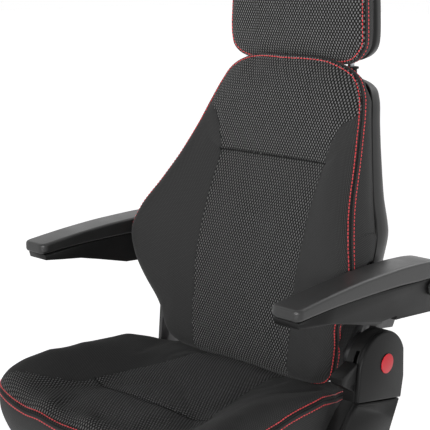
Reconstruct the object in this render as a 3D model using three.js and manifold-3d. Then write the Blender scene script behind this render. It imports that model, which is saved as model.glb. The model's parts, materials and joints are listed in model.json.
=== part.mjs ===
// Vehicle operator's seat: a seat top on slide rails with a reclining back, folding armrests
// and a height-adjustable head restraint. Millimetres, +Z up. The occupant faces -Y and has
// +X on their left. The recline axis runs along X; most shapes are drawn about that axis and
// the whole seat is then lifted onto the underside of its rails.
import * as THREE from "three";
import { mergeVertices } from "three/addons/utils/BufferGeometryUtils.js";
import Module from "manifold-3d";

// ---------------------------------------------------------------- driving dimensions
const PIVOT_Z = 215; // recline axis above the underside of the rails
const PIVOT_Y = 126.8; // recline axis behind the middle of the seat
const GAP = 0.3; // clearance between pieces that touch
const RUN = 0.4; // radial clearance of anything that turns

const LEAN = 0.181; // how far the rear plane of the back moves back for each mm of height
const REAR_Y_AT_PIVOT = 56; // rear plane of the back cushion at the recline axis
const BACK_SWEEP_R = 66; // the back stays inside this radius below the recline axis
const SEAT_SWEEP_R = 69; // the seat cushion stays outside this radius

const TUBE_R = 11; // frame tubes of the back
const TUBE_WALL = 2;
const SHAFT_R = 7; // recliner shaft
const POST_R = 6; // head-restraint posts
const POST_X = 95;
const POST_Y = 138;
const HUB_Y = 82; // armrest hinge
const HUB_Z = 121;
const HUB_R = 44;
const ARM_IN_X = 262; // armrest pad, inner and outer face
const ARM_OUT_X = 318;
const HINGE_BOLT_R = 8;
const WHEEL_Y = -40; // armrest angle adjuster
const WHEEL_Z = 98;
const WHEEL_R = 15;

const PAN_HALF_WIDTH = 222.4;
const PAN_TOP = -142;
const RAIL_X = 170;
const RAIL_FRONT = -385;
const RAIL_REAR = 35;
const RAIL_BOTTOM = -PIVOT_Z;
const BAR_Y = -255; // hinge line of the slide release bar
const BAR_Z = -188;

// ---------------------------------------------------------------- materials
const steel = () => new THREE.MeshStandardMaterial({ color: 0x1c1c1e, roughness: 0.5, metalness: 0.6 });
const zinc = () => new THREE.MeshStandardMaterial({ color: 0x8d9095, roughness: 0.35, metalness: 0.9 });
const plastic = () => new THREE.MeshStandardMaterial({ color: 0x2b2c2e, roughness: 0.55, metalness: 0 });
const skin = () => new THREE.MeshStandardMaterial({ color: 0x222325, roughness: 0.6, metalness: 0 });
const fabric = () => new THREE.MeshStandardMaterial({ color: 0x2a2a2c, roughness: 0.95, metalness: 0 });
const red = () => new THREE.MeshStandardMaterial({ color: 0xc8102e, roughness: 0.35, metalness: 0 });
const nylon = () => new THREE.MeshStandardMaterial({ color: 0xd8d5cc, roughness: 0.6, metalness: 0 });

// ---------------------------------------------------------------- solid helpers
const wasm = await Module();
wasm.setup();

function toSolid(geometry) {
  let bare = geometry.clone();
  bare.deleteAttribute("normal");
  bare.deleteAttribute("uv");
  bare = mergeVertices(bare, 1e-4);
  return new wasm.Manifold(new wasm.Mesh({
    numProp: 3,
    vertProperties: Float32Array.from(bare.attributes.position.array),
    triVerts: Uint32Array.from(bare.index.array),
  }));
}

function toGeometry(solid) {
  const mesh = solid.getMesh();
  const geometry = new THREE.BufferGeometry();
  geometry.setAttribute("position", new THREE.BufferAttribute(mesh.vertProperties, 3));
  geometry.setIndex(new THREE.BufferAttribute(mesh.triVerts, 1));
  return geometry;
}

function cut(base, ...tools) {
  let solid = toSolid(base);
  for (const tool of tools) solid = solid.subtract(toSolid(tool));
  return toGeometry(solid);
}

function join(...pieces) {
  let solid = toSolid(pieces[0]);
  for (const piece of pieces.slice(1)) solid = solid.add(toSolid(piece));
  return toGeometry(solid);
}

// A box from its lowest to its highest corner.
function box(x0, x1, y0, y1, z0, z1) {
  const geometry = new THREE.BoxGeometry(x1 - x0, y1 - y0, z1 - z0);
  return geometry.translate((x0 + x1) / 2, (y0 + y1) / 2, (z0 + z1) / 2);
}

function shapeOf(points) {
  return new THREE.Shape(points.map(([u, v]) => new THREE.Vector2(u, v)));
}

const ALONG_X = new THREE.Matrix4().makeBasis(
  new THREE.Vector3(0, 1, 0), new THREE.Vector3(0, 0, 1), new THREE.Vector3(1, 0, 0));

// An outline drawn in (y, z), pulled along X from x0 to x1, with an optional rounded rim.
function alongX(shape, x0, x1, rim = 0) {
  const geometry = new THREE.ExtrudeGeometry(shape, {
    depth: x1 - x0 - 2 * rim,
    bevelEnabled: rim > 0,
    bevelThickness: rim,
    bevelSize: rim,
    bevelOffset: -rim,
    bevelSegments: 2,
    curveSegments: 10,
  });
  return geometry.translate(0, 0, rim).applyMatrix4(ALONG_X).translate(x0, 0, 0);
}

// An outline drawn in (x, z), pulled along Y from y0 to y1.
function alongY(shape, y0, y1) {
  const geometry = new THREE.ExtrudeGeometry(shape, { depth: y1 - y0, bevelEnabled: false });
  return geometry.rotateX(Math.PI / 2).translate(0, y1, 0);
}

function roundX(radius, x0, x1, y = 0, z = 0, sides = 28) {
  const geometry = new THREE.CylinderGeometry(radius, radius, x1 - x0, sides);
  return geometry.rotateZ(Math.PI / 2).translate((x0 + x1) / 2, y, z);
}

function roundZ(radius, x, y, z0, z1, sides = 24) {
  const geometry = new THREE.CylinderGeometry(radius, radius, z1 - z0, sides);
  return geometry.rotateX(Math.PI / 2).translate(x, y, (z0 + z1) / 2);
}

// A ring with its axis along X: outer and inner radius, from x0 to x1.
function ringX(outer, inner, x0, x1, y = 0, z = 0) {
  const profile = [[inner, x0], [outer, x0], [outer, x1], [inner, x1], [inner, x0]];
  const lathe = new THREE.LatheGeometry(profile.map(([r, a]) => new THREE.Vector2(r, a)), 28);
  return lathe.rotateZ(-Math.PI / 2).translate(0, y, z);
}

// A round bar that follows a curve.
function bar(curve, radius, steps, sides = 10) {
  const section = new THREE.Shape();
  section.absarc(0, 0, radius, 0, 2 * Math.PI, false);
  return new THREE.ExtrudeGeometry(section, { steps, curveSegments: sides, extrudePath: curve });
}

function straightBar(from, to, radius, sides = 10) {
  return bar(new THREE.LineCurve3(new THREE.Vector3(...from), new THREE.Vector3(...to)), radius, 1, sides);
}

// A tube between two points, open at both ends.
function straightTube(from, to, radius, wall) {
  const start = new THREE.Vector3(...from);
  const end = new THREE.Vector3(...to);
  const past = end.clone().sub(start).setLength(1);
  const bore = straightBar(start.clone().sub(past).toArray(), end.clone().add(past).toArray(), radius - wall);
  return cut(straightBar(from, to, radius), bore);
}

// A closed solid through rings of points, with flat fans closing the first and last ring.
function loft(rings) {
  const count = rings[0].length;
  const positions = rings.flat().flatMap(([x, y, z]) => [x, y, z]);
  const index = [];
  for (let r = 0; r + 1 < rings.length; r += 1) {
    for (let i = 0; i < count; i += 1) {
      const a = r * count + i;
      const b = r * count + ((i + 1) % count);
      index.push(a, b, a + count, b, b + count, a + count);
    }
  }
  for (const [r, turn] of [[0, 1], [rings.length - 1, 0]]) {
    const middle = rings[r].reduce((sum, p) => sum.map((v, k) => v + p[k] / count), [0, 0, 0]);
    const centre = positions.length / 3;
    positions.push(...middle);
    for (let i = 0; i < count; i += 1) {
      const a = r * count + i;
      const b = r * count + ((i + 1) % count);
      index.push(centre, ...(turn ? [b, a] : [a, b]));
    }
  }
  if (enclosed(positions, index) < 0) index.reverse();
  const geometry = new THREE.BufferGeometry();
  geometry.setAttribute("position", new THREE.Float32BufferAttribute(positions, 3));
  geometry.setIndex(index);
  return geometry;
}

function enclosed(positions, index) {
  const corner = (i) => new THREE.Vector3().fromArray(positions, 3 * index[i]);
  let volume = 0;
  for (let i = 0; i < index.length; i += 3) {
    volume += corner(i).dot(corner(i + 1).cross(corner(i + 2))) / 6;
  }
  return volume;
}

// A half ring, from the middle out to +X and back, closed by its mirror image.
function mirrored(half) {
  const inner = half.slice(1, -1).reverse();
  return [...half, ...inner.map(([x, y, z]) => [-x, y, z])];
}

const flipX = (geometry) => {
  const flipped = toSolid(geometry).mirror([1, 0, 0]);
  return toGeometry(flipped);
};

// ---------------------------------------------------------------- the seat's group
const seat = new THREE.Group();
seat.position.set(0, PIVOT_Y, PIVOT_Z);

function add(name, geometry, material, parent = seat) {
  const mesh = new THREE.Mesh(geometry, material);
  mesh.name = name;
  parent.add(mesh);
}

// A piece drawn for the left side, and its mirror image for the right.
function addPair(name, geometry, makeMaterial) {
  add(`${name}_left`, geometry, makeMaterial());
  add(`${name}_right`, flipX(geometry), makeMaterial());
}

const rearPlaneY = (z) => REAR_Y_AT_PIVOT + LEAN * z;

// ---------------------------------------------------------------- slide rails
const RAIL_HALF = 22;
const RAIL_WALL = 3;
const RAIL_HEIGHT = 26;
const SLOT_HALF = 8;

function lowerRailShape() {
  const inner = RAIL_HALF - RAIL_WALL;
  const top = RAIL_HEIGHT;
  const right = [[RAIL_HALF, 0], [RAIL_HALF, top], [SLOT_HALF, top], [SLOT_HALF, top - RAIL_WALL],
    [inner, top - RAIL_WALL], [inner, RAIL_WALL]];
  const left = right.map(([x, z]) => [-x, z]).reverse();
  return shapeOf([...right, ...left].map(([x, z]) => [x + RAIL_X, z + RAIL_BOTTOM]));
}

function upperRailShape() {
  const right = [[18, 7], [18, 21], [5, 21], [5, 31], [17, 31], [17, 35]];
  const left = right.map(([x, z]) => [-x, z]).reverse();
  return shapeOf([...right, ...left].map(([x, z]) => [x + RAIL_X, z + RAIL_BOTTOM]));
}

addPair("lower_rail", alongY(lowerRailShape(), RAIL_FRONT, RAIL_REAR), steel);
addPair("upper_rail", alongY(upperRailShape(), RAIL_FRONT + 15, RAIL_REAR - 15), zinc);

const GLIDE_Z = RAIL_BOTTOM + RAIL_WALL + GAP;
const GLIDE_INSET = 25;
addPair("rail_glide", box(RAIL_X - 16, RAIL_X + 16, RAIL_FRONT + GLIDE_INSET, RAIL_REAR - GLIDE_INSET,
  GLIDE_Z, GLIDE_Z + 3.4), nylon);

// ---------------------------------------------------------------- pan and risers
const UPPER_RAIL_TOP = RAIL_BOTTOM + 35;
const PAN_FRONT = -400;
const PAN_REAR = 36;
const PAN_FLANGE = 20;
const PAN_SHEET = 2;

// Each riser is a length of rectangular tube.
const RISER_WALL = 3;
function riserBlock(inset, overrun) {
  return box(RAIL_X - 15 + inset, RAIL_X + 15 - inset, RAIL_FRONT + 45 - overrun, RAIL_REAR - 30 + overrun,
    UPPER_RAIL_TOP + GAP + inset, PAN_TOP - PAN_SHEET - GAP - inset);
}
addPair("rail_riser", cut(riserBlock(0, 0), riserBlock(RISER_WALL, 1)), steel);

const panOuter = box(-PAN_HALF_WIDTH, PAN_HALF_WIDTH, PAN_FRONT, PAN_REAR, PAN_TOP - PAN_FLANGE, PAN_TOP);
const panInner = box(PAN_SHEET - PAN_HALF_WIDTH, PAN_HALF_WIDTH - PAN_SHEET, PAN_FRONT + PAN_SHEET,
  PAN_REAR - PAN_SHEET, PAN_TOP - PAN_FLANGE - 1, PAN_TOP - PAN_SHEET);
add("seat_pan", cut(panOuter, panInner), steel());

// ---------------------------------------------------------------- slide release bar
const BAR_HALF = 128;
const BAR_FRONT = -418;
const barPath = new THREE.CurvePath();
const barCorners = [[-BAR_HALF, BAR_Y + 20], [-BAR_HALF, BAR_FRONT + 26], [-BAR_HALF + 26, BAR_FRONT],
  [BAR_HALF - 26, BAR_FRONT], [BAR_HALF, BAR_FRONT + 26], [BAR_HALF, BAR_Y + 20]];
const at = ([x, y]) => new THREE.Vector3(x, y, BAR_Z);
barPath.add(new THREE.LineCurve3(at(barCorners[0]), at(barCorners[1])));
barPath.add(new THREE.QuadraticBezierCurve3(
  at(barCorners[1]), at([-BAR_HALF, BAR_FRONT]), at(barCorners[2])));
barPath.add(new THREE.LineCurve3(at(barCorners[2]), at(barCorners[3])));
barPath.add(new THREE.QuadraticBezierCurve3(
  at(barCorners[3]), at([BAR_HALF, BAR_FRONT]), at(barCorners[4])));
barPath.add(new THREE.LineCurve3(at(barCorners[4]), at(barCorners[5])));
const BAR_R = 5;
const barShaft = roundX(BAR_R, 1 - RAIL_X + RAIL_HALF, RAIL_X - RAIL_HALF - 1, BAR_Y, BAR_Z, 16);
add("slide_bar", join(bar(barPath, BAR_R, 30, 8), barShaft), steel());

// Each latch is a toothed plate on the bar's shaft that reaches to the side of the lower rail.
const latchBlock = box(BAR_HALF + BAR_R + 1, RAIL_X - RAIL_HALF - 2, BAR_Y - 18, BAR_Y + 18,
  BAR_Z - 9, BAR_Z + 9);
const latch = cut(latchBlock, roundX(BAR_R + GAP, 0, RAIL_X, BAR_Y, BAR_Z, 16),
  box(0, RAIL_X, BAR_Y - 15, BAR_Y - 10, BAR_Z - 20, BAR_Z - 4),
  box(0, RAIL_X, BAR_Y + 10, BAR_Y + 15, BAR_Z - 20, BAR_Z - 4));
addPair("slide_latch", latch, zinc);
add("slide_bar_spring", ringX(BAR_R + 4, BAR_R + RUN, 70, 88, BAR_Y, BAR_Z), zinc());

// The shaft turns in two hangers under the pan.
const hanger = cut(box(92, 96, BAR_Y - 12, BAR_Y + 12, BAR_Z - 10, PAN_TOP - PAN_SHEET - GAP),
  roundX(BAR_R + RUN, 80, 110, BAR_Y, BAR_Z, 16));
addPair("slide_bar_hanger", hanger, steel);

// ---------------------------------------------------------------- seat cushion
// Sections from rear to front: place along Y, half width, height of the insert, of the
// bolster crest and of the edge seam.
const SEAT_SECTIONS = [
  [35, 196, -72, -72, -80],
  [-20, 205, -62, -62, -72],
  [-71, 205, -57, -52, -62],
  [-72, 244, -57, -50, -60],
  [-110, 244, -58, -46, -57],
  [-176, 246, -60, -28, -50],
  [-231, 251, -62, -20, -52],
  [-301, 261, -63, -25, -58],
  [-368, 268, -66, -44, -70],
  [-400, 260, -72, -60, -80],
  [-424, 225, -84, -82, -92],
  [-436, 160, -100, -100, -108],
];
const SEAT_BASE = PAN_TOP + GAP;
const INSERT_FRONT_HALF = 137;
const INSERT_NARROWING = 0.245; // the insert gets narrower towards the rear
const INSERT_WIDEST_Y = -271;

function seatSection([y, half, insert, crest, seam]) {
  const narrowing = INSERT_NARROWING * Math.max(0, y - INSERT_WIDEST_Y);
  const insertHalf = Math.min(INSERT_FRONT_HALF - narrowing, half * 0.6);
  return mirrored([
    [0, y, insert],
    [insertHalf * 0.6, y, insert],
    [insertHalf, y, insert],
    [(insertHalf + half) / 2, y, insert + 0.62 * (crest - insert)],
    [half - 24, y, crest],
    [half - 8, y, (crest + seam) / 2 + 2],
    [half, y, seam],
    [half - 2, y, (seam + SEAT_BASE) / 2],
    [half - 26, y, SEAT_BASE],
    [0, y, SEAT_BASE],
  ]);
}

const seatLoft = loft(SEAT_SECTIONS.map(seatSection));
add("seat_cushion", cut(seatLoft, roundX(SEAT_SWEEP_R, -300, 300, 0, 0, 48)), fabric());

// ---------------------------------------------------------------- left recliner, seat side
const DISC_IN_X = 226.3;
const DISC_OUT_X = 245.7;
const PLATE_IN_X = 246;
const PLATE_OUT_X = 251.4;
const HOUSING_IN_X = 252;
const HOUSING_OUT_X = 276;
const COVER_OUT_X = 285;
const COVER_WALL = 3;
const SKIRT_Z = -163;

const shaftHole = (x0, x1) => roundX(SHAFT_R + RUN, x0, x1, 0, 0);

const plateShape = new THREE.Shape();
plateShape.absarc(0, 0, 42, Math.PI, 0, true);
plateShape.lineTo(30, SKIRT_Z);
plateShape.lineTo(-62, SKIRT_Z);
plateShape.closePath();
const plateFoot = box(PAN_HALF_WIDTH + GAP, PLATE_IN_X + 1, -50, 25, SKIRT_Z, -145);
add("side_plate_left", cut(join(alongX(plateShape, PLATE_IN_X, PLATE_OUT_X), plateFoot),
  shaftHole(PLATE_IN_X - 2, PLATE_OUT_X + 2)), steel());

add("recliner_disc_left", ringX(40, SHAFT_R + RUN, DISC_IN_X, DISC_OUT_X), steel());

// The housing and both outer covers share one outline: an arch over the recliner that runs
// down into a skirt which sweeps forward.
const ARCH_Y = -9;
const ARCH_Z = -8;
const ARCH_R = 65;
const SPLIT_FRONT = [-77, -50];
const SPLIT_REAR = [47.5, -74];

function housingShape(inset, top = true, bottom = true) {
  const shape = new THREE.Shape();
  const r = ARCH_R - inset;
  if (top) {
    shape.absarc(ARCH_Y, ARCH_Z, r, Math.PI, 0.35, true);
    shape.lineTo(54.5 - inset, -36);
    shape.lineTo(SPLIT_REAR[0] - inset, SPLIT_REAR[1] + (bottom ? 0 : inset));
  } else {
    shape.moveTo(SPLIT_FRONT[0] + inset, SPLIT_FRONT[1] - GAP - inset);
    shape.lineTo(SPLIT_REAR[0] - 4 - inset, SPLIT_REAR[1] - GAP - inset);
  }
  if (bottom) {
    shape.lineTo(19 - inset, -122);
    shape.lineTo(8 - inset, SKIRT_Z + inset);
    shape.lineTo(-172 + inset * 2, SKIRT_Z + inset);
    shape.quadraticCurveTo(-140 + inset, -112, -97 + inset, -64);
  }
  shape.lineTo(SPLIT_FRONT[0] + inset, SPLIT_FRONT[1] + (bottom ? 0 : inset));
  shape.closePath();
  return shape;
}

const leverSlot = box(265.5, 272.5, -130, -40, -10, 33);
add("recliner_housing_left", cut(alongX(housingShape(0), HOUSING_IN_X, HOUSING_OUT_X, 1.5),
  alongX(housingShape(COVER_WALL), HOUSING_IN_X + COVER_WALL, HOUSING_OUT_X + 1),
  leverSlot, shaftHole(HOUSING_IN_X - 2, HOUSING_OUT_X)), plastic());

function outerCover(top, bottom) {
  const x0 = HOUSING_OUT_X + GAP;
  return cut(alongX(housingShape(0, top, bottom), x0 - 4, COVER_OUT_X, 4),
    box(x0 - 10, x0, -300, 300, -300, 300),
    alongX(housingShape(COVER_WALL + 1, top, bottom), x0 - 2, COVER_OUT_X - COVER_WALL));
}

add("recliner_cover_left", outerCover(true, false), plastic());
add("lower_side_cover_left", outerCover(false, true), plastic());
add("badge_cap_left", roundX(16.8, COVER_OUT_X + GAP, COVER_OUT_X + 2, 0, 0, 36), red());

// ---------------------------------------------------------------- recliner lever
const LEVER_TIP = -116;
const leverHub = ringX(15, SHAFT_R + GAP, 259, 269);
const leverStem = box(266, 272, -80, -13, -6, 6);
const leverHandleShape = shapeOf([[-76, 17.5], [LEVER_TIP + 4, 5], [LEVER_TIP, 1], [LEVER_TIP, -8],
  [LEVER_TIP + 4, -12], [-83, -29], [-79, -12]]);
const leverHandle = alongX(leverHandleShape, 255, 280, 1.5);
add("recliner_lever", join(leverHub, leverStem, leverHandle), plastic());
add("recliner_shaft", roundX(SHAFT_R, 212, 270, 0, 0, 24), zinc());
add("lever_return_spring", ringX(12, SHAFT_R + RUN, 270.6, 275), zinc());

// ---------------------------------------------------------------- right pivot, seat side
const rightPlateShape = new THREE.Shape();
rightPlateShape.absarc(0, 0, 21, Math.PI, 0, true);
rightPlateShape.lineTo(42, SKIRT_Z);
rightPlateShape.lineTo(-46, SKIRT_Z);
rightPlateShape.lineTo(-30, -72);
rightPlateShape.closePath();
const PIVOT_BOLT_R = 8;
const boltHole = (x0, x1) => roundX(PIVOT_BOLT_R + RUN, x0, x1, 0, 0);
add("side_plate_right", cut(alongX(rightPlateShape, -229, -222.7), boltHole(-240, -210)), steel());
const boltHead = roundX(13, -233, -229.3, 0, 0, 6);
add("pivot_bolt_right", join(roundX(PIVOT_BOLT_R, -230, -211, 0, 0, 24), boltHead), zinc());

const coverShape = new THREE.Shape();
coverShape.absarc(0, 0, 19, Math.PI, 0, true);
coverShape.lineTo(42, -150);
coverShape.lineTo(-40, -150);
coverShape.lineTo(-25, -72);
coverShape.closePath();
const coverPocket = new THREE.Shape();
coverPocket.absarc(0, 0, 17, Math.PI, 0, true);
coverPocket.lineTo(40, -151);
coverPocket.lineTo(-38, -151);
coverPocket.lineTo(-23, -72);
coverPocket.closePath();
add("pivot_cover_right", cut(alongX(coverShape, -235.5, -229.3, 1),
  alongX(coverPocket, -233.5, -228)), plastic());

// ---------------------------------------------------------------- back frame
const ARM_IN = 214;
const ARM_OUT = 222;
const CROSS_Y = 53;
const CROSS_Z = 72;
const CROSS_R = 12;
const armShape = new THREE.Shape();
armShape.absarc(0, 0, 28, 0.9 * Math.PI, 1.75 * Math.PI, false);
armShape.lineTo(66, 44);
armShape.absarc(CROSS_Y, CROSS_Z, 17, -0.2, 0.9 * Math.PI, false);
armShape.closePath();
const backArm = alongX(armShape, ARM_IN, ARM_OUT);
add("back_arm_left", cut(backArm, shaftHole(ARM_IN - 2, ARM_OUT + 2)), steel());
add("back_arm_right", flipX(cut(backArm, boltHole(ARM_IN - 2, ARM_OUT + 2))), steel());
add("lower_cross_tube", ringX(CROSS_R, CROSS_R - TUBE_WALL, GAP - ARM_IN, ARM_IN - GAP, CROSS_Y, CROSS_Z),
  steel());

// The upper cross tube carries the sleeves of the head restraint on its rear.
const SLEEVE_R = 11;
const UPPER_TUBE_Z = 400;
const UPPER_TUBE_Y = POST_Y - SLEEVE_R - TUBE_R - GAP;
const sideTubeTop = [122, UPPER_TUBE_Y - 3, UPPER_TUBE_Z - 15];
addPair("back_side_tube", straightTube([150, 57, CROSS_Z + 16], sideTubeTop, TUBE_R, TUBE_WALL), steel);
add("upper_cross_tube", ringX(TUBE_R, TUBE_R - TUBE_WALL, -133, 133, UPPER_TUBE_Y, UPPER_TUBE_Z), steel());

// The suspension mat and its wires lie in the leaning plane of the frame.
const framePlane = new THREE.Group();
framePlane.rotation.x = -Math.atan(LEAN);
framePlane.position.set(0, REAR_Y_AT_PIVOT, 0);
seat.add(framePlane);
const matShape = shapeOf([[-95, 120], [95, 120], [110, 160], [104, 330], [90, 360], [-90, 360], [-104, 330],
  [-110, 160]]);
add("suspension_mat", alongY(matShape, -26, -22), plastic(), framePlane);
for (const [name, z, half] of [["mat_wire_lower", 170, 128], ["mat_wire_upper", 310, 117]]) {
  add(name, roundX(2.5, -half, half, -18, z, 8), zinc(), framePlane);
}

// ---------------------------------------------------------------- armrest hinges on the back
const BRACKET_IN = 238;
const BRACKET_OUT = 250;
const BRACKET_SWEEP_R = 48; // clear of the recliner
const bracketShape = new THREE.Shape();
bracketShape.moveTo(12, 48);
bracketShape.lineTo(66, 40);
bracketShape.lineTo(HUB_Y + 30, HUB_Z);
bracketShape.absarc(HUB_Y, HUB_Z, 30, 0, Math.PI, false);
bracketShape.closePath();
const bracketSpacer = box(ARM_OUT + GAP, BRACKET_IN + 1, 22, 64, 52, 84);
const bracket = cut(join(alongX(bracketShape, BRACKET_IN, BRACKET_OUT), bracketSpacer),
  roundX(HINGE_BOLT_R + RUN, BRACKET_IN - 4, BRACKET_OUT + 4, HUB_Y, HUB_Z),
  roundX(BRACKET_SWEEP_R, 200, 260, 0, 0, 36));
addPair("armrest_bracket", bracket, steel);
const hingeBolt = join(roundX(HINGE_BOLT_R, BRACKET_IN - 1, ARM_OUT_X - 22, HUB_Y, HUB_Z, 20),
  roundX(13, BRACKET_IN - 8, BRACKET_IN - GAP, HUB_Y, HUB_Z, 6));
addPair("armrest_hinge_bolt", hingeBolt, zinc);

// ---------------------------------------------------------------- back cushion and shell
// Sections from bottom to top: height, half width, then how far back the edge seam, the edge
// of the insert and the middle of the front are.
const BACK_SECTIONS = [
  [-57, 150, -20, -25, -25],
  [-40, 180, -38, -44, -44],
  [0, 207, -34, -45, -40],
  [60, 228, -54, -44, -34],
  [116, 250, -66, -38, -28],
  [160, 258, -64, -28, -18],
  [204, 248, -50, -13, -3],
  [262, 220, -9, 11, 20],
  [320, 201, 26, 33, 38],
  [378, 184, 56, 50, 48],
  [436, 152, 86, 66, 58],
  [466, 118, 95, 72, 64],
  [486, 62, 86, 76, 70],
  [492, 24, 84, 80, 75],
];
const SLEEVE_BOTTOM = 386;
const SLEEVE_TOP = 472;
const BACK_INSERT = 0.48; // insert half width as a share of the cushion's
const LIP_INSET = 15; // the sides taper in by this much on their way back to the shell
const SHELL_TOP = 458;

// Above the recliner the shell's lip runs forward of the rear plane, most of all at mid height.
function lipY(z) {
  const forward = THREE.MathUtils.clamp(95 - 0.179 * z, 0, 57);
  return rearPlaneY(z) - forward * THREE.MathUtils.smoothstep(z, 90, 150);
}

// The rear of the cushion follows the rear plane, and slopes away at the bottom and at the top.
function cushionRear(z) {
  if (z < 0) return Math.min(rearPlaneY(z), 44 + 0.8 * (z + 40));
  return Math.min(rearPlaneY(z), 90 + 0.6 * (496 - z));
}

function backSection([z, half, edge, insert, middle]) {
  const rear = cushionRear(z);
  const lip = Math.min(lipY(z), rear - 1);
  const inner = half * BACK_INSERT;
  return mirrored([
    [0, middle, z],
    [inner * 0.6, middle + 0.25 * (insert - middle), z],
    [inner, insert, z],
    [(inner + half) / 2, (insert + edge) / 2 - 6, z],
    [half * 0.95, edge - 4, z],
    [half, edge + Math.min(8, (lip - edge) / 3), z],
    [half - LIP_INSET / 3, (edge + lip) / 2 + 2, z],
    [half - Math.min(LIP_INSET, half / 2), lip, z],
    [half - Math.min(52, half * 0.8), rear, z],
    [0, rear, z],
  ]);
}

// Room inside the cushion for the frame, which opens to the rear and at the bottom.
const frameRoom = loft([[-80, 172], [60, 172], [UPPER_TUBE_Z + 22, 140]].map(([z, half]) => [
  [-half, Math.max(rearPlaneY(z) - 32, 24), z], [half, Math.max(rearPlaneY(z) - 32, 24), z],
  [half, 400, z], [-half, 400, z]]));
const crossRoom = box(-240, 240, CROSS_Y - CROSS_R - 6, 300, -80, CROSS_Z + CROSS_R + 8);
const armRoom = box(ARM_IN - 4, 300, -36, 300, -80, 96);
const bracketRoom = box(BRACKET_IN - 10, 300, 2, 300, 30, HUB_Z + 34);
const sleeveRoom = roundZ(16, POST_X, POST_Y, SLEEVE_BOTTOM - 20, 560);
const backLoft = loft(BACK_SECTIONS.map(backSection));
add("backrest_cushion", cut(backLoft, frameRoom, crossRoom, armRoom, flipX(armRoom), bracketRoom,
  flipX(bracketRoom), sleeveRoom, flipX(sleeveRoom)), fabric());

// Outline of the rear shell: height and half width, from the bottom up.
const SHELL_OUTLINE = [[-2, 120], [14, 172], [60, 205], [110, 222], [160, 232], [204, 234], [262, 207],
  [320, 190], [378, 172], [420, 160], [440, 148], [452, 122], [SHELL_TOP - 1, 80], [SHELL_TOP, 30]];
const SHELL_WALL = 3;

// One ring of the shell: the outline moved in by inset, at a share of the way back from the lip to the
// rear plane, and depth behind that.
function shellRing(inset, share, depth) {
  const middleZ = 230;
  const side = SHELL_OUTLINE.map(([z, half]) => {
    const away = Math.sign(z - middleZ) * Math.min(1, Math.abs(z - middleZ) / 200);
    const level = z - inset * away;
    const y = lipY(level) + share * (rearPlaneY(level) - lipY(level)) + depth;
    return [Math.max(half - inset, 4), y, level];
  });
  return [...side, ...side.map(([x, y, z]) => [-x, y, z]).reverse()];
}

const SHELL_RINGS = [[0, 0, GAP], [5, 0.1, 26], [16, 0.35, 38], [38, 0.75, 44], [90, 1, 48]];
const shellOuter = loft(SHELL_RINGS.map((ring) => shellRing(...ring)));
const shellInner = loft(SHELL_RINGS.map(([inset, share, depth]) => shellRing(
  inset + SHELL_WALL, share, depth - SHELL_WALL - (inset ? 0 : 1))));
const crossTubeRoom = roundX(CROSS_R + 2, -240, 240, CROSS_Y, CROSS_Z, 20);
const cushionRoom = loft(BACK_SECTIONS.map(([z, half, ...rest]) => backSection([z, half + GAP, ...rest])));
cushionRoom.translate(0, GAP, 0);
add("back_shell", cut(shellOuter, shellInner, cushionRoom, crossTubeRoom, sleeveRoom, flipX(sleeveRoom)),
  plastic());

const sleeveProfile = [[POST_R + RUN, SLEEVE_BOTTOM], [SLEEVE_R, SLEEVE_BOTTOM], [SLEEVE_R, SLEEVE_TOP - 4],
  [14, SLEEVE_TOP - 4], [14, SLEEVE_TOP], [POST_R + RUN, SLEEVE_TOP], [POST_R + RUN, SLEEVE_BOTTOM]];
const sleeve = new THREE.LatheGeometry(sleeveProfile.map(([r, z]) => new THREE.Vector2(r, z)), 20);
addPair("headrest_sleeve", sleeve.rotateX(Math.PI / 2).translate(POST_X, POST_Y, 0), plastic);

// ---------------------------------------------------------------- armrests
const PAD_TIP = -281;
const PAD_REAR = 96;
const padShape = shapeOf([[PAD_TIP + 4, 141], [PAD_TIP, 149], [PAD_TIP + 5, 159], [-235, 165], [-180, 169],
  [-100, 173], [-20, 174], [51, 171], [PAD_REAR - 12, 166], [PAD_REAR + 4, 150], [PAD_REAR - 6, 137],
  [54, 138.3], [-75, 145], [-180, 145.5]]);
addPair("armrest_pad", alongX(padShape, ARM_IN_X, ARM_OUT_X, 5), skin);

const BODY_IN_X = 266;
const BODY_OUT_X = 314;
const bodyShape = new THREE.Shape();
bodyShape.moveTo(-271, 130);
bodyShape.lineTo(-274, 140.5 - GAP);
bodyShape.lineTo(-180, 145.2 - GAP);
bodyShape.lineTo(-75, 144.7 - GAP);
bodyShape.lineTo(54, 138 - GAP);
bodyShape.lineTo(PAD_REAR - 6, 136.7 - GAP);
bodyShape.lineTo(HUB_Y + HUB_R - 2, HUB_Z + 12);
bodyShape.absarc(HUB_Y, HUB_Z, HUB_R, 0.2, -Math.PI / 2, true);
bodyShape.lineTo(-7, 85);
bodyShape.lineTo(-76, 90);
bodyShape.lineTo(-145, 108);
bodyShape.lineTo(-190, 119);
bodyShape.lineTo(-236, 125);
bodyShape.closePath();
const wheelRecess = box(280, 300, WHEEL_Y - 20, WHEEL_Y + 20, 60, WHEEL_Z + 18);
const fingerNotch = box(299, BODY_OUT_X + 1, WHEEL_Y - 19, WHEEL_Y + 21, 60, 93);
const armBody = cut(alongX(bodyShape, BODY_IN_X, BODY_OUT_X, 2), wheelRecess, fingerNotch,
  roundX(HINGE_BOLT_R + RUN, BODY_IN_X - 2, ARM_OUT_X - 20, HUB_Y, HUB_Z));
addPair("armrest_body", armBody, plastic);
addPair("armrest_hub_cap", roundX(14, BODY_OUT_X + GAP, ARM_OUT_X, HUB_Y, HUB_Z), plastic);

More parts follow.
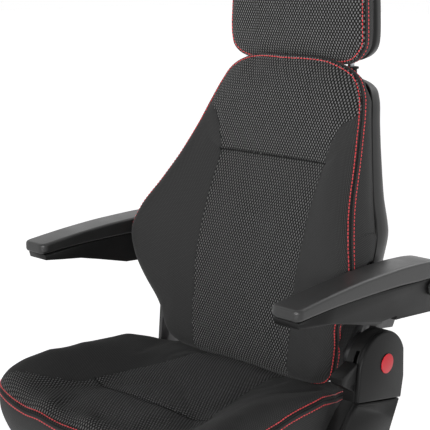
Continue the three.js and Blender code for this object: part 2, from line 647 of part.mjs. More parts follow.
// A ribbed thumb wheel sets how far down the armrest comes.
const RIBS = 18;
const wheelShape = new THREE.Shape();
for (let rib = 0; rib < RIBS; rib += 1) {
  for (const [share, radius] of [[0, WHEEL_R], [0.5, WHEEL_R], [0.5, WHEEL_R - 1], [1, WHEEL_R - 1]]) {
    const turn = (2 * Math.PI * (rib + share * 0.98)) / RIBS;
    const corner = [WHEEL_Y + radius * Math.cos(turn), WHEEL_Z + radius * Math.sin(turn)];
    if (rib + share === 0) wheelShape.moveTo(...corner);
    else wheelShape.lineTo(...corner);
  }
}
wheelShape.closePath();
addPair("armrest_wheel", alongX(wheelShape, 282, 298), plastic);

// ---------------------------------------------------------------- head restraint
// Sections from bottom to top: height, half width, seam and middle of the front.
const HEAD_SECTIONS = [
  [478, 112, 108, 106],
  [485, 133, 103, 98],
  [505, 150, 97, 86],
  [563, 152, 96, 82],
  [620, 146, 99, 86],
  [648, 136, 103, 92],
  [664, 117, 110, 102],
  [670, 98, 114, 110],
];
const HEAD_REAR = 127;

const headCushion = loft(HEAD_SECTIONS.map(([z, half, seam, middle]) => mirrored([
  [0, middle, z],
  [half * 0.55, middle + 0.3 * (seam - middle), z],
  [half * 0.92, seam - 3, z],
  [half, seam + 6, z],
  [half - 1, (seam + HEAD_REAR) / 2 + 3, z],
  [half - 4, HEAD_REAR, z],
  [0, HEAD_REAR, z],
])));
add("headrest_cushion", headCushion, fabric());

const HEAD_BOTTOM = 481; // of the shell
const HEAD_TOP = 667;

const headOutline = (inset) => {
  const side = [[HEAD_BOTTOM, 108], [488, 129], [508, 146], [563, 148], [620, 142], [646, 132],
    [661, 113], [HEAD_TOP, 94]];
  return side.map(([z, half]) => {
    const level = THREE.MathUtils.clamp(z, HEAD_BOTTOM + inset, HEAD_TOP - inset);
    return [half - inset, level];
  });
};
function headRing(inset, y) {
  const side = headOutline(inset).map(([x, z]) => [x, y, z]);
  return [...side, ...side.map(([x, yy, z]) => [-x, yy, z]).reverse()];
}
const HEAD_SHELL_Y = HEAD_REAR + GAP;
const headShellOuter = loft([headRing(0, HEAD_SHELL_Y), headRing(3, HEAD_SHELL_Y + 26),
  headRing(16, HEAD_SHELL_Y + 36), headRing(40, HEAD_SHELL_Y + 40)]);
const headShellInner = loft([headRing(3, HEAD_SHELL_Y - 1), headRing(6, HEAD_SHELL_Y + 23),
  headRing(19, HEAD_SHELL_Y + 33), headRing(43, HEAD_SHELL_Y + 37)]);
const postRoom = roundZ(POST_R + GAP, POST_X, POST_Y, 460, 500);
add("headrest_shell", cut(headShellOuter, headShellInner, postRoom, flipX(postRoom)), plastic());
add("headrest_core", box(-104, 104, HEAD_SHELL_Y + GAP, POST_Y - POST_R - GAP, 498, 644), plastic());
addPair("headrest_post", roundZ(POST_R, POST_X, POST_Y, 372, 620, 20), zinc);

export default seat;
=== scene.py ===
"""Vehicle operator's seat with armrests and a head restraint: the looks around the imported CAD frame."""

import json
import math

import bpy
import numpy as np
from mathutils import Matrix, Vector


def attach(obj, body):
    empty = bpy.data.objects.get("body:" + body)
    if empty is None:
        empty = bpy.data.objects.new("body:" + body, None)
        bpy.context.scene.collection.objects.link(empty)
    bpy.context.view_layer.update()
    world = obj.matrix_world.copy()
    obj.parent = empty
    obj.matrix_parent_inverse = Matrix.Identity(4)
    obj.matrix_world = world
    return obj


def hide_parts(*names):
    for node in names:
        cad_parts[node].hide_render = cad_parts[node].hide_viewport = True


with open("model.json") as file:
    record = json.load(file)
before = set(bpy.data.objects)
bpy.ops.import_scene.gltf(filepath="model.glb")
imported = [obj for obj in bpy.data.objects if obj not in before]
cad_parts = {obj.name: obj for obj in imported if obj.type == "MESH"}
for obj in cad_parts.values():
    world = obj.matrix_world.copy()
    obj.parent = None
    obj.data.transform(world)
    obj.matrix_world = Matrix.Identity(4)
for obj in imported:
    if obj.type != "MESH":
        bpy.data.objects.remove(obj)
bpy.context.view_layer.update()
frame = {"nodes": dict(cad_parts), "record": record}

MM = 0.001
JOINTS = {joint["name"]: joint for joint in frame["record"]["behaviour"]["joints"]}
PIVOT = np.array(JOINTS["backrest_recline"]["pos_m"])
PIVOT_MM = PIVOT / MM
PIVOT_MM[0] = 0.0

# ------------------------------------------------------------------ camera, lights, floor
CAMERA_FROM_PIVOT = (1.3111, -1.5214, 0.6567)
CAMERA_TURN = math.radians(42.97)
CAMERA_DOWN = math.radians(12.55)
LENS = 96.05
SENSOR = 36.0
AMBIENT = 0.85  # what diffuse surfaces receive from the white surroundings
CEILING = 0.02  # and from the dark ceiling


def make_camera():
    data = bpy.data.cameras.new("camera")
    data.lens = LENS
    data.sensor_width = SENSOR
    data.sensor_fit = "HORIZONTAL"
    data.clip_end = 50.0
    camera = bpy.data.objects.new("camera", data)
    camera.location = Vector((0.0, PIVOT[1], PIVOT[2])) + Vector(CAMERA_FROM_PIVOT)
    camera.rotation_euler = (math.pi / 2 - CAMERA_DOWN, 0.0, CAMERA_TURN)
    bpy.context.collection.objects.link(camera)
    bpy.context.scene.camera = camera


def area_light(name, place, target, size, power, spread=180.0):
    data = bpy.data.lights.new(name, "AREA")
    data.shape = "RECTANGLE"
    data.size, data.size_y = size
    data.energy = power
    data.spread = math.radians(spread)
    light = bpy.data.objects.new(name, data)
    light.location = place
    aim = Vector(target) - Vector(place)
    light.rotation_euler = aim.to_track_quat("-Z", "Y").to_euler()
    bpy.context.collection.objects.link(light)


def make_studio():
    scene = bpy.context.scene
    scene.view_settings.view_transform = "Standard"
    world = bpy.data.worlds.new("studio")
    world.use_nodes = True
    tree = world.node_tree
    background = tree.nodes["Background"]
    background.inputs["Color"].default_value = (1.0, 1.0, 1.0, 1.0)
    rays = tree.nodes.new("ShaderNodeLightPath")
    split = tree.nodes.new("ShaderNodeSeparateXYZ")
    tree.links.new(tree.nodes.new("ShaderNodeTexCoord").outputs["Generated"], split.inputs[0])
    height = tree.nodes.new("ShaderNodeMapRange")
    height.inputs["From Min"].default_value = 0.05
    height.inputs["From Max"].default_value = 0.55
    height.inputs["To Min"].default_value = AMBIENT
    height.inputs["To Max"].default_value = CEILING
    tree.links.new(split.outputs[2], height.inputs["Value"])
    choose = tree.nodes.new("ShaderNodeMix")
    choose.inputs["A"].default_value = 1.0
    tree.links.new(rays.outputs["Is Diffuse Ray"], choose.inputs["Factor"])
    tree.links.new(height.outputs["Result"], choose.inputs["B"])
    tree.links.new(choose.outputs["Result"], background.inputs["Strength"])
    scene.world = world
    area_light("key", (1.45, -2.35, 1.05), (0.0, 0.1, 0.95), (1.3, 1.0), 8.5, 60.0)
    area_light("fill", (-1.9, -1.9, 1.2), (0.0, 0.0, 0.5), (1.4, 1.4), 5.0)
    area_light("back", (0.6, 2.4, 1.9), (0.0, 0.1, 0.5), (1.6, 1.2), 14.0)
    bpy.ops.mesh.primitive_plane_add(size=30.0, location=(0.0, 0.0, -0.001))
    floor = bpy.context.object
    floor.name = "floor"
    material = bpy.data.materials.new("floor")
    material.use_nodes = True
    shader = material.node_tree.nodes["Principled BSDF"]
    shader.inputs["Base Color"].default_value = (0.5, 0.5, 0.5, 1.0)
    shader.inputs["Roughness"].default_value = 0.8
    shader.inputs["Emission Color"].default_value = (1.0, 1.0, 1.0, 1.0)
    shader.inputs["Emission Strength"].default_value = 0.9
    floor.data.materials.append(material)
    floor.visible_diffuse = False


# ------------------------------------------------------------------ node materials
class Nodes:
    """Short names for building one material's node tree."""

    def __init__(self, name):
        self.material = bpy.data.materials.new(name)
        self.material.use_nodes = True
        self.tree = self.material.node_tree
        self.shader = self.tree.nodes["Principled BSDF"]

    def node(self, kind, **settings):
        made = self.tree.nodes.new(kind)
        for key, value in settings.items():
            if key[0].isupper():
                made.inputs[key.replace("_", " ")].default_value = value
            else:
                setattr(made, key, value)
        return made

    def link(self, source, target):
        self.tree.links.new(source, target)

    def math(self, operation, a, b=None, c=None):
        made = self.node("ShaderNodeMath", operation=operation)
        for index, value in enumerate((a, b, c)):
            if value is None:
                continue
            if isinstance(value, (int, float)):
                made.inputs[index].default_value = value
            else:
                self.link(value, made.inputs[index])
        return made.outputs[0]

    def coords(self, attribute=None):
        if attribute:
            return self.node("ShaderNodeAttribute", attribute_name=attribute).outputs["Vector"]
        return self.node("ShaderNodeTexCoord").outputs["Object"]

    def factor(self, attribute):
        return self.node("ShaderNodeAttribute", attribute_name=attribute).outputs["Fac"]

    def noise(self, vector, scale, detail=3.0, rough=0.5):
        made = self.node("ShaderNodeTexNoise", Scale=scale, Detail=detail, Roughness=rough)
        self.link(vector, made.inputs["Vector"])
        return made.outputs["Fac"]

    def ramp(self, value, low, high, from_value=0.0, to_value=1.0):
        made = self.node("ShaderNodeMapRange")
        self.link(value, made.inputs["Value"])
        made.inputs["From Min"].default_value = low
        made.inputs["From Max"].default_value = high
        made.inputs["To Min"].default_value = from_value
        made.inputs["To Max"].default_value = to_value
        return made.outputs["Result"]

    def mix(self, factor, a, b):
        made = self.node("ShaderNodeMix", data_type="RGBA")
        if isinstance(factor, (int, float)):
            made.inputs[0].default_value = factor
        else:
            self.link(factor, made.inputs[0])
        for index, value in ((6, a), (7, b)):
            if isinstance(value, tuple):
                made.inputs[index].default_value = (*value[:3], 1.0)
            else:
                self.link(value, made.inputs[index])
        return made.outputs[2]

    def bump(self, height, distance, strength=1.0):
        made = self.node("ShaderNodeBump", Distance=distance, Strength=strength)
        self.link(height, made.inputs["Height"])
        self.link(made.outputs["Normal"], self.shader.inputs["Normal"])


def grey(value):
    return (value, value, value)


DOT_PITCH = 5.6 * MM  # spacing of the mesh fabric's dots along its rows
DOT_ROW = 4.7 * MM  # spacing of the rows, which are staggered
FINE_SHARE = 0.5  # the plain cloth has the same pattern at this scale


def wave(nodes, phase):
    """A cosine ridge pattern, 0 to 1, with one ridge for each turn of the phase."""
    turned = nodes.math("MULTIPLY", phase, 2.0 * math.pi)
    return nodes.math("MULTIPLY_ADD", nodes.math("COSINE", turned), 0.5, 0.5)


def dot_pattern(nodes, u, v, scale):
    """Rows of dots, each row shifted by half a pitch."""
    along = nodes.math("MULTIPLY", u, 1.0 / (DOT_PITCH * scale))
    across = nodes.math("MULTIPLY", v, 0.5 / (DOT_ROW * scale))
    first = wave(nodes, nodes.math("ADD", along, across))
    return nodes.math("MULTIPLY", first, wave(nodes, nodes.math("SUBTRACT", along, across)))


def fabric_material():
    """Charcoal seat cloth. The point attribute "mesh" is 1 on the dotted mesh fabric and 0 on the plain
    weave, "cloth" holds the cloth's own coordinates in metres, and "seam" is 1 in the bottom of a seam,
    where the colour is darkened as painted shade."""
    nodes = Nodes("seat_cloth")
    cloth = nodes.node("ShaderNodeSeparateXYZ")
    nodes.link(nodes.coords("cloth"), cloth.inputs[0])
    u, v = cloth.outputs[0], cloth.outputs[1]
    sharp = nodes.ramp(dot_pattern(nodes, u, v, 1.0), 0.16, 0.50)
    weave = dot_pattern(nodes, u, v, FINE_SHARE)
    uneven = nodes.noise(nodes.coords("cloth"), 55.0, 4.0)
    fuzz = nodes.noise(nodes.coords("cloth"), 900.0, 2.0)
    dot_colour = nodes.mix(sharp, grey(0.006), grey(0.185))
    plain_colour = nodes.mix(weave, grey(0.026), grey(0.084))
    is_mesh = nodes.ramp(nodes.factor("mesh"), 0.45, 0.55)
    colour = nodes.mix(is_mesh, plain_colour, dot_colour)
    shaded = nodes.mix(nodes.ramp(uneven, 0.3, 0.7, 0.0, 0.15), colour, grey(0.030))
    speckled = nodes.mix(nodes.ramp(fuzz, 0.35, 0.8, 0.0, 0.2), shaded, grey(0.060))
    # Painted shade: the cloth is darkened to near black in the bottom of every seam.
    with_seam_shade = nodes.mix(nodes.factor("seam"), speckled, grey(0.006))
    nodes.link(with_seam_shade, nodes.shader.inputs["Base Color"])
    nodes.shader.inputs["Roughness"].default_value = 0.92
    nodes.shader.inputs["Specular IOR Level"].default_value = 0.05
    nodes.shader.inputs["Sheen Weight"].default_value = 0.08
    nodes.shader.inputs["Sheen Roughness"].default_value = 0.5
    relief = nodes.math("ADD", nodes.math("MULTIPLY", sharp, is_mesh), nodes.math("MULTIPLY", weave, 0.35))
    height = nodes.math("ADD", relief, nodes.math("MULTIPLY", fuzz, 0.3))
    nodes.bump(height, 0.8 * MM, 0.7)
    return nodes.material


def moulded_material(name, base, rough, grain_scale, grain_depth, gloss=0.5, edge_highlight=0.12):
    """Moulded plastic or skinned foam: fine grain, uneven gloss and slightly paler convex edges, which are a
    painted highlight.
    """
    nodes = Nodes(name)
    place = nodes.coords()
    grain = nodes.node("ShaderNodeTexVoronoi", Scale=grain_scale)
    nodes.link(place, grain.inputs["Vector"])
    cloudy = nodes.noise(place, 14.0, 5.0)
    # Painted highlight: convex edges, found by their pointiness, are mixed towards a paler grey.
    convexity = nodes.node("ShaderNodeNewGeometry").outputs["Pointiness"]
    edge = nodes.ramp(convexity, 0.52, 0.62, 0.0, 1.0)
    tone = nodes.mix(nodes.ramp(cloudy, 0.3, 0.7), grey(base * 0.88), grey(base * 1.12))
    with_edge_highlight = nodes.mix(nodes.math("MULTIPLY", edge, edge_highlight), tone, grey(base * 2.4))
    nodes.link(with_edge_highlight, nodes.shader.inputs["Base Color"])
    nodes.link(nodes.ramp(cloudy, 0.3, 0.7, rough - 0.05, rough + 0.06), nodes.shader.inputs["Roughness"])
    nodes.shader.inputs["Specular IOR Level"].default_value = gloss
    nodes.bump(grain.outputs["Distance"], grain_depth, 0.5)
    return nodes.material


def metal_material(name, base, rough, metallic, scratch=90.0):
    nodes = Nodes(name)
    place = nodes.coords()
    stretch = nodes.node("ShaderNodeMapping", Scale=(1.0, 1.0, 0.12))
    nodes.link(place, stretch.inputs["Vector"])
    lines = nodes.noise(stretch.outputs[0], scratch * 6.0, 4.0, 0.7)
    blotch = nodes.noise(place, 22.0, 4.0)
    darker, paler = tuple(c * 0.8 for c in base), tuple(c * 1.15 for c in base)
    tone = nodes.mix(nodes.ramp(blotch, 0.3, 0.75), darker, paler)
    nodes.link(tone, nodes.shader.inputs["Base Color"])
    nodes.link(nodes.ramp(lines, 0.3, 0.7, rough - 0.08, rough + 0.1), nodes.shader.inputs["Roughness"])
    nodes.shader.inputs["Metallic"].default_value = metallic
    nodes.bump(lines, 0.12 * MM, 0.25)
    return nodes.material


def thread_material():
    nodes = Nodes("red_thread")
    place = nodes.coords()
    ply = nodes.noise(place, 2600.0, 2.0)
    tone = nodes.mix(nodes.ramp(ply, 0.3, 0.7), (0.62, 0.010, 0.018), (0.88, 0.05, 0.06))
    nodes.link(tone, nodes.shader.inputs["Base Color"])
    nodes.shader.inputs["Roughness"].default_value = 0.5
    nodes.shader.inputs["Sheen Weight"].default_value = 0.3
    nodes.bump(ply, 0.15 * MM, 0.5)
    return nodes.material


def badge_material():
    nodes = Nodes("badge_red")
    place = nodes.coords()
    cloudy = nodes.noise(place, 30.0, 3.0)
    tone = nodes.mix(nodes.ramp(cloudy, 0.3, 0.7), (0.58, 0.008, 0.018), (0.66, 0.014, 0.028))
    nodes.link(tone, nodes.shader.inputs["Base Color"])
    nodes.shader.inputs["Roughness"].default_value = 0.3
    nodes.shader.inputs["Specular IOR Level"].default_value = 0.25
    nodes.shader.inputs["Coat Weight"].default_value = 0.1
    nodes.bump(nodes.noise(place, 900.0, 2.0), 0.05 * MM, 0.2)
    return nodes.material


# ------------------------------------------------------------------ curves and meshes in code
def smooth_through(stations, where):
    """Monotone cubic curve through (place, value) stations, evaluated at an array of places."""
    places = np.array([s[0] for s in stations], float)
    values = np.array([s[1] for s in stations], float)
    steps = np.diff(places)
    slopes = np.diff(values) / steps
    tangents = np.zeros_like(values)
    tangents[0], tangents[-1] = slopes[0], slopes[-1]
    for i in range(1, len(places) - 1):
        if slopes[i - 1] * slopes[i] > 0:
            w1, w2 = 2 * steps[i] + steps[i - 1], steps[i] + 2 * steps[i - 1]
            tangents[i] = (w1 + w2) / (w1 / slopes[i - 1] + w2 / slopes[i])
    where = np.clip(np.asarray(where, float), places[0], places[-1])
    cell = np.clip(np.searchsorted(places, where) - 1, 0, len(steps) - 1)
    t = (where - places[cell]) / steps[cell]
    h = steps[cell]
    return ((2 * t**3 - 3 * t**2 + 1) * values[cell] + (t**3 - 2 * t**2 + t) * h * tangents[cell]
            + (-2 * t**3 + 3 * t**2) * values[cell + 1] + (t**3 - t**2) * h * tangents[cell + 1])


def ease(value, low, high):
    t = np.clip((np.asarray(value, float) - low) / (high - low), 0.0, 1.0)
    return t * t * (3 - 2 * t)


def unit(vectors):
    return vectors / np.maximum(np.linalg.norm(vectors, axis=-1, keepdims=True), 1e-9)


def shade_smooth(mesh):
    mesh.polygons.foreach_set("use_smooth", np.ones(len(mesh.polygons), bool))


def new_object(name, vertices, faces, material, body, smooth=True):
    """A mesh piece from vertices in mm about the recline axis, riding on a CAD body."""
    mesh = bpy.data.meshes.new(name)
    placed = (np.asarray(vertices, float) + PIVOT_MM) * MM
    mesh.from_pydata(placed.tolist(), [], faces)
    mesh.materials.append(material)
    if smooth:
        shade_smooth(mesh)
    piece = bpy.data.objects.new(name, mesh)
    bpy.context.collection.objects.link(piece)
    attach(piece, body)
    return piece


def add_attribute(piece, name, values, kind="FLOAT"):
    layer = piece.data.attributes.new(name, kind, "POINT")
    field = "value" if kind == "FLOAT" else "vector"
    layer.data.foreach_set(field, np.asarray(values, float).ravel())


def outward(faces, vertices):
    """Turns every face over if the closed mesh points inwards."""
    v = np.asarray(vertices, float)
    volume = 0.0
    for face in faces:
        for i in range(1, len(face) - 1):
            volume += np.dot(v[face[0]], np.cross(v[face[i]], v[face[i + 1]]))
    return faces if volume > 0 else [tuple(reversed(face)) for face in faces]


def ring_faces(rings, count):
    """Quads between closed rings of count points, with a point closing each end."""
    faces = []
    for r in range(rings - 1):
        for i in range(count):
            j = (i + 1) % count
            faces.append((r * count + i, r * count + j, (r + 1) * count + j, (r + 1) * count + i))
    first, last = rings * count, rings * count + 1
    for i in range(count):
        j = (i + 1) % count
        faces.append((first, j, i))
        faces.append((last, (rings - 1) * count + i, (rings - 1) * count + j))
    return faces


def with_ends(values):
    """Grid values, then one for each closing point."""
    flat = values.reshape(-1, *values.shape[2:])
    return np.concatenate([flat, values[:1].mean(1), values[-1:].mean(1)])


def upright(flat, depth):
    """Points of a standing plane, as (across, up), with their depth along Y."""
    return np.stack([flat[:, 0], depth, flat[:, 1]], 1)


def lying(flat, depth):
    """Points of a lying plane, as (across, along), with their height."""
    return np.column_stack([flat, depth])


def thin_plate(places, depths):
    """A bending plate through given depths at places in a plane, as a function of other places."""
    scale = 100.0
    anchors = np.asarray(places, float) / scale

    def kernel(a, b):
        square = ((a[:, None, :] - b[None, :, :]) ** 2).sum(-1)
        return 0.5 * square * np.log(np.maximum(square, 1e-12))

    count = len(anchors)
    flat = np.column_stack([np.ones(count), anchors])
    system = np.zeros((count + 3, count + 3))
    system[:count, :count] = kernel(anchors, anchors)
    system[:count, count:] = flat
    system[count:, :count] = flat.T
    weights = np.linalg.solve(system, np.concatenate([depths, np.zeros(3)]))

    def depth(where):
        q = np.asarray(where, float) / scale
        return kernel(q, anchors) @ weights[:count] + np.column_stack([np.ones(len(q)), q]) @ weights[count:]

    return depth


def closed_curve(points, samples=720):
    """A smooth closed loop through given points (centripetal Catmull-Rom)."""
    p = np.asarray(points, float)
    n = len(p)
    per = samples // n + 1
    out = []
    for i in range(n):
        p0, p1, p2, p3 = p[i - 1], p[i], p[(i + 1) % n], p[(i + 2) % n]
        out.append(catmull(p0, p1, p2, p3, np.linspace(0, 1, per, endpoint=False)))
    return np.concatenate(out)


def open_curve(points, per=10):
    """A smooth open line through given points."""
    p = np.asarray(points, float)
    p = np.concatenate([[2 * p[0] - p[1]], p, [2 * p[-1] - p[-2]]])
    out = [catmull(*p[i:i + 4], np.linspace(0, 1, per, endpoint=False)) for i in range(len(p) - 3)]
    return np.concatenate(out + [p[-2:-1]])


def catmull(p0, p1, p2, p3, share):
    t0 = 0.0
    t1 = t0 + math.sqrt(np.linalg.norm(p1 - p0))
    t2 = t1 + math.sqrt(np.linalg.norm(p2 - p1))
    t3 = t2 + math.sqrt(np.linalg.norm(p3 - p2))
    t = (t1 + (t2 - t1) * share)[:, None]
    a1 = ((t1 - t) * p0 + (t - t0) * p1) / (t1 - t0)
    a2 = ((t2 - t) * p1 + (t - t1) * p2) / (t2 - t1)
    a3 = ((t3 - t) * p2 + (t - t2) * p3) / (t3 - t2)
    b1 = ((t2 - t) * a1 + (t - t0) * a2) / (t2 - t0)
    b2 = ((t3 - t) * a2 + (t - t1) * a3) / (t3 - t1)
    return ((t2 - t) * b1 + (t - t1) * b2) / (t2 - t1)


def nearest_on(curve, points):
    """Distance from each point to an open curve, and the nearest place on it."""
    best = np.full(len(points), 1e9)
    place = np.array(points, float)
    for a, b in zip(curve[:-1], curve[1:]):
        along = b - a
        t = np.clip(((points - a) @ along) / (along @ along), 0, 1)
        foot = a + t[:, None] * along
        distance = np.linalg.norm(points - foot, axis=1)
        closer = distance < best
        best[closer] = distance[closer]
        place[closer] = foot[closer]
    return best, place


# ------------------------------------------------------------------ sewn cushions
AROUND = 420  # points in each ring of a cushion
INNER_RINGS = 64
EDGE_BAND = 30.0  # mm of the face next to the edge seam that has rings of its own
ROLL_R = 24.0  # the face rolls over towards the edge seam within this distance
ROLL_ARCS = (35, 31, 27.5, 24.5, 21.5, 19, 16.8, 14.8, 13, 11.5, 10.2, 9.2, 8.2, 7.2, 6, 4.8, 3.6, 2.4, 1.2)
EDGE_INSETS = (30, 26) + tuple(ROLL_R * (1 - math.cos(arc / ROLL_R)) for arc in ROLL_ARCS)
STITCH_AWAY = 7.8  # each row of stitches lies this far from the edge seam, over the cloth
GUSSET_STEPS = (1.2, 2.4, 3.6, 4.8, 6, 7.2, 8.2, 9.2, 10.5, 12.5, 15)
GUSSET_RINGS = 12
REAR_RINGS = 10
SEAM_WIDTH = 2.0  # how wide the valley of a sewn seam is
SEAM_DEPTH = 1.8
PUFF_REACH = 14.0  # how soon a panel rises from its seams
SNAP = 1.7  # points this close to a seam are moved onto it
SNAP_INSET = 9.0  # unless they lie nearer the edge than this
PRESS_WIDTH = 1.4  # of the edge seam and of a row of stitches


class Cushion:
    """A sewn cushion as rings of points in mm about the recline axis: the face from its middle out to the
    edge seam, the gusset behind the seam, and the rings that close the rear."""

    def __init__(self, outline, centre, base, seams, puff, roll, to_space, out):
        """to_space places flat points with a depth, which grows out of the cushion where out is 1 and
        into it where out is -1. Seams are (curve, weight) pairs; puff and roll are functions of points."""
        self.centre = np.asarray(centre, float)
        self.to_space = to_space
        turns = np.linspace(0, 2 * np.pi, AROUND, endpoint=False)
        spokes = outline - self.centre
        angles = np.arctan2(spokes[:, 1], spokes[:, 0]) % (2 * np.pi)
        order = np.argsort(angles)
        radius = np.interp(turns, angles[order], np.linalg.norm(spokes, axis=1)[order], period=2 * np.pi)
        self.spoke = np.stack([np.cos(turns), np.sin(turns)], 1)
        self.edge = self.centre + self.spoke * radius[:, None]
        tangent = np.roll(self.edge, -1, 0) - np.roll(self.edge, 1, 0)
        self.normal2 = unit(np.stack([tangent[:, 1], -tangent[:, 0]], 1))
        slant = np.sum(self.normal2 * self.spoke, 1)
        inner = radius - EDGE_BAND / slant
        shares = np.linspace(0.012, 1.0, INNER_RINGS, endpoint=False)
        loops = [inner * share for share in shares] + [radius - inset / slant for inset in EDGE_INSETS]
        flat = np.array([self.centre + self.spoke * loop[:, None] for loop in loops])
        inset = np.array([(radius - loop) * slant for loop in loops])
        points = flat.reshape(-1, 2)
        pull = np.exp(-inset.ravel() / PUFF_REACH)
        dark = np.zeros(len(points))
        for seam, weight in seams:
            distance, foot = nearest_on(seam, points)
            moved = (distance < SNAP) & (inset.ravel() > SNAP_INSET)
            points[moved] = foot[moved]
            distance[moved] = 0.0
            pull = np.maximum(pull, weight * np.exp(-distance / PUFF_REACH))
            dark = np.maximum(dark, weight * np.exp(-(distance / SEAM_WIDTH) ** 2))
        self.sewn = dark.reshape(inset.shape)
        turn = 1 - np.clip(inset.ravel() / ROLL_R, 0, 1)
        drop = roll(points) * (1 - np.sqrt(1 - turn**2))
        depth = base(points) + out * (puff(points) * (1 - pull) - SEAM_DEPTH * dark - drop)
        self.flat = points.reshape(flat.shape)
        self.face = to_space(points, depth).reshape(*flat.shape[:2], 3)
        self.seam = to_space(self.edge, base(self.edge) - out * roll(self.edge))
        self.offset = [-inset.mean(1)[k] for k in range(len(loops))] + [0.0]
        self.rings = list(self.face) + [self.seam]

    def close(self, rear, bulge, depth_in, inwards):
        """Adds the gusset from the seam to a rear loop, then rings that step in and close the rear."""
        reach = np.linalg.norm(rear - self.seam, axis=1)
        out3 = self.to_space(self.normal2, np.zeros(AROUND))
        out3 = unit(out3 - self.to_space(np.zeros((1, 2)), np.zeros(1)))
        last = GUSSET_STEPS[-1] / reach
        shares = [step / reach for step in GUSSET_STEPS]
        shares += [last + (1 - last) * s for s in np.linspace(0, 1, GUSSET_RINGS + 1)[1:]]
        for share in shares:
            straight = self.seam + (rear - self.seam) * share[:, None]
            self.rings.append(straight + out3 * (bulge * np.sin(np.pi * share))[:, None])
            self.offset.append(float((share * reach).mean()))
        middle = rear.mean(0)
        for step in range(1, REAR_RINGS + 1):
            share = step / REAR_RINGS
            lip = min(share * 3, 1.0)
            ring = rear + (middle - rear) * (0.12 * lip + 0.84 * max(0.0, share - 1 / 3) * 1.5)
            ring = ring + inwards * depth_in * ease(share, 0.12, 0.45)
            self.rings.append(ring)
            self.offset.append(self.offset[-1] + 5.0)
        self.grid = np.array(self.rings)
        self.offset = np.array(self.offset)
        self.seam_ring = len(self.face)

    def round_edge(self, before, after, rounds):
        """Rounds the turn from face to gusset, across the rings within some mm of the seam."""
        chosen = np.flatnonzero((self.offset > -before) & (self.offset < after))
        low, high = chosen[0], chosen[-1] + 1
        for _ in range(rounds):
            average = (self.grid[low - 1:high - 1] + self.grid[low + 1:high + 1]) / 2
            self.grid[low:high] = 0.5 * self.grid[low:high] + 0.5 * average

    def normals(self):
        across = np.gradient(self.grid, axis=0)
        along = np.roll(self.grid, -1, 1) - np.roll(self.grid, 1, 1)
        normal = unit(np.cross(along, across))
        centre = self.grid[self.seam_ring].mean(0)
        outwards = np.sum(normal[self.seam_ring] * unit(self.grid[self.seam_ring] - centre), -1).mean()
        return normal * np.sign(outwards)

    def away(self):
        """How far every point is from the edge seam, measured over the cloth; less than 0 on the face."""
        steps = np.linalg.norm(np.diff(self.grid, axis=0), axis=2)
        run = np.concatenate([np.zeros((1, AROUND)), np.cumsum(steps, axis=0)])
        return run - run[self.seam_ring]

    def sew_edge(self):
        """Presses the seam and its two rows of stitches into the rounded edge."""
        a = self.away()
        seam = np.exp(-(a / PRESS_WIDTH) ** 2)
        rows = np.exp(-((np.abs(a) - STITCH_AWAY) / PRESS_WIDTH) ** 2)
        between = np.exp(-((np.abs(a) - 4.1) / 2.0) ** 2)
        press = -1.7 * seam - 0.7 * rows + 0.9 * between
        press[self.seam_ring + len(GUSSET_STEPS) + 3:] = 0
        self.grid = self.grid + self.normals() * press[..., None]

    def stitch_rings(self):
        """The loops of points, with the way they face, that the two rows of stitches follow."""
        facing, away = self.normals(), self.away()
        rows = []
        for place in (-STITCH_AWAY, STITCH_AWAY):
            loop, out = np.empty((AROUND, 3)), np.empty((AROUND, 3))
            for i in range(AROUND):
                for k in range(3):
                    loop[i, k] = np.interp(place, away[:, i], self.grid[:, i, k])
                    out[i, k] = np.interp(place, away[:, i], facing[:, i, k])
            rows.append((loop, unit(out)))
        return rows

    def swell(self, pressure, cap):
        """Blender's cloth blows the panels up between their seams, on every third point; the movement,
        capped, is then spread over all the points."""
        last = len(self.grid) - 1
        picked = np.unique([*range(0, self.seam_ring, 3), self.seam_ring,
                            *range(self.seam_ring + 3, last + 1, 3), last])
        coarse = self.grid[picked][:, ::3]
        held = np.zeros(coarse.shape[:2], bool)
        rows = picked < self.seam_ring
        held[rows] = self.sewn[picked[rows]][:, ::3] > 0.2
        held |= (np.abs(self.offset[picked]) < 1.0)[:, None]
        held |= (picked >= len(self.grid) - REAR_RINGS - 2)[:, None]
        rings, count = coarse.shape[:2]
        vertices = with_ends(coarse)
        faces = outward(ring_faces(rings, count), vertices)
        mesh = bpy.data.meshes.new("swelling")
        mesh.from_pydata((vertices * MM).tolist(), [], faces)
        piece = bpy.data.objects.new("swelling", mesh)
        bpy.context.collection.objects.link(piece)
        group = piece.vertex_groups.new(name="sewn")
        group.add([int(i) for i in np.flatnonzero(held.ravel())], 1.0, "ADD")
        group.add([rings * count + 1], 1.0, "ADD")
        cloth = piece.modifiers.new("cloth", "CLOTH")
        settings = cloth.settings
        settings.quality = 5
        settings.mass = 0.35
        settings.tension_stiffness = settings.compression_stiffness = 18
        settings.shear_stiffness = 8
        settings.bending_stiffness = 1.2
        settings.use_pressure = True
        settings.uniform_pressure_force = pressure
        settings.effector_weights.gravity = 0
        settings.vertex_group_mass = "sewn"
        scene = bpy.context.scene
        for number in range(1, 21):
            scene.frame_set(number)
        solved = piece.evaluated_get(bpy.context.evaluated_depsgraph_get()).to_mesh()
        moved = np.empty(len(vertices) * 3)
        solved.vertices.foreach_get("co", moved)
        scene.frame_set(1)
        bpy.data.objects.remove(piece)
        shift = moved.reshape(-1, 3)[:rings * count].reshape(rings, count, 3) / MM - coarse
        length = np.linalg.norm(shift, axis=-1, keepdims=True)
        shift *= cap * np.tanh(length / cap) / np.maximum(length, 1e-6)
        turns = np.arange(AROUND) / 3
        wide = np.empty((rings, AROUND, 3))
        for r in range(rings):
            for k in range(3):
                wide[r, :, k] = np.interp(turns, np.arange(count), shift[r, :, k], period=count)
        every = np.arange(len(self.grid))
        for i in range(AROUND):
            for k in range(3):
                self.grid[:, i, k] += np.interp(every, picked, wide[:, i, k])

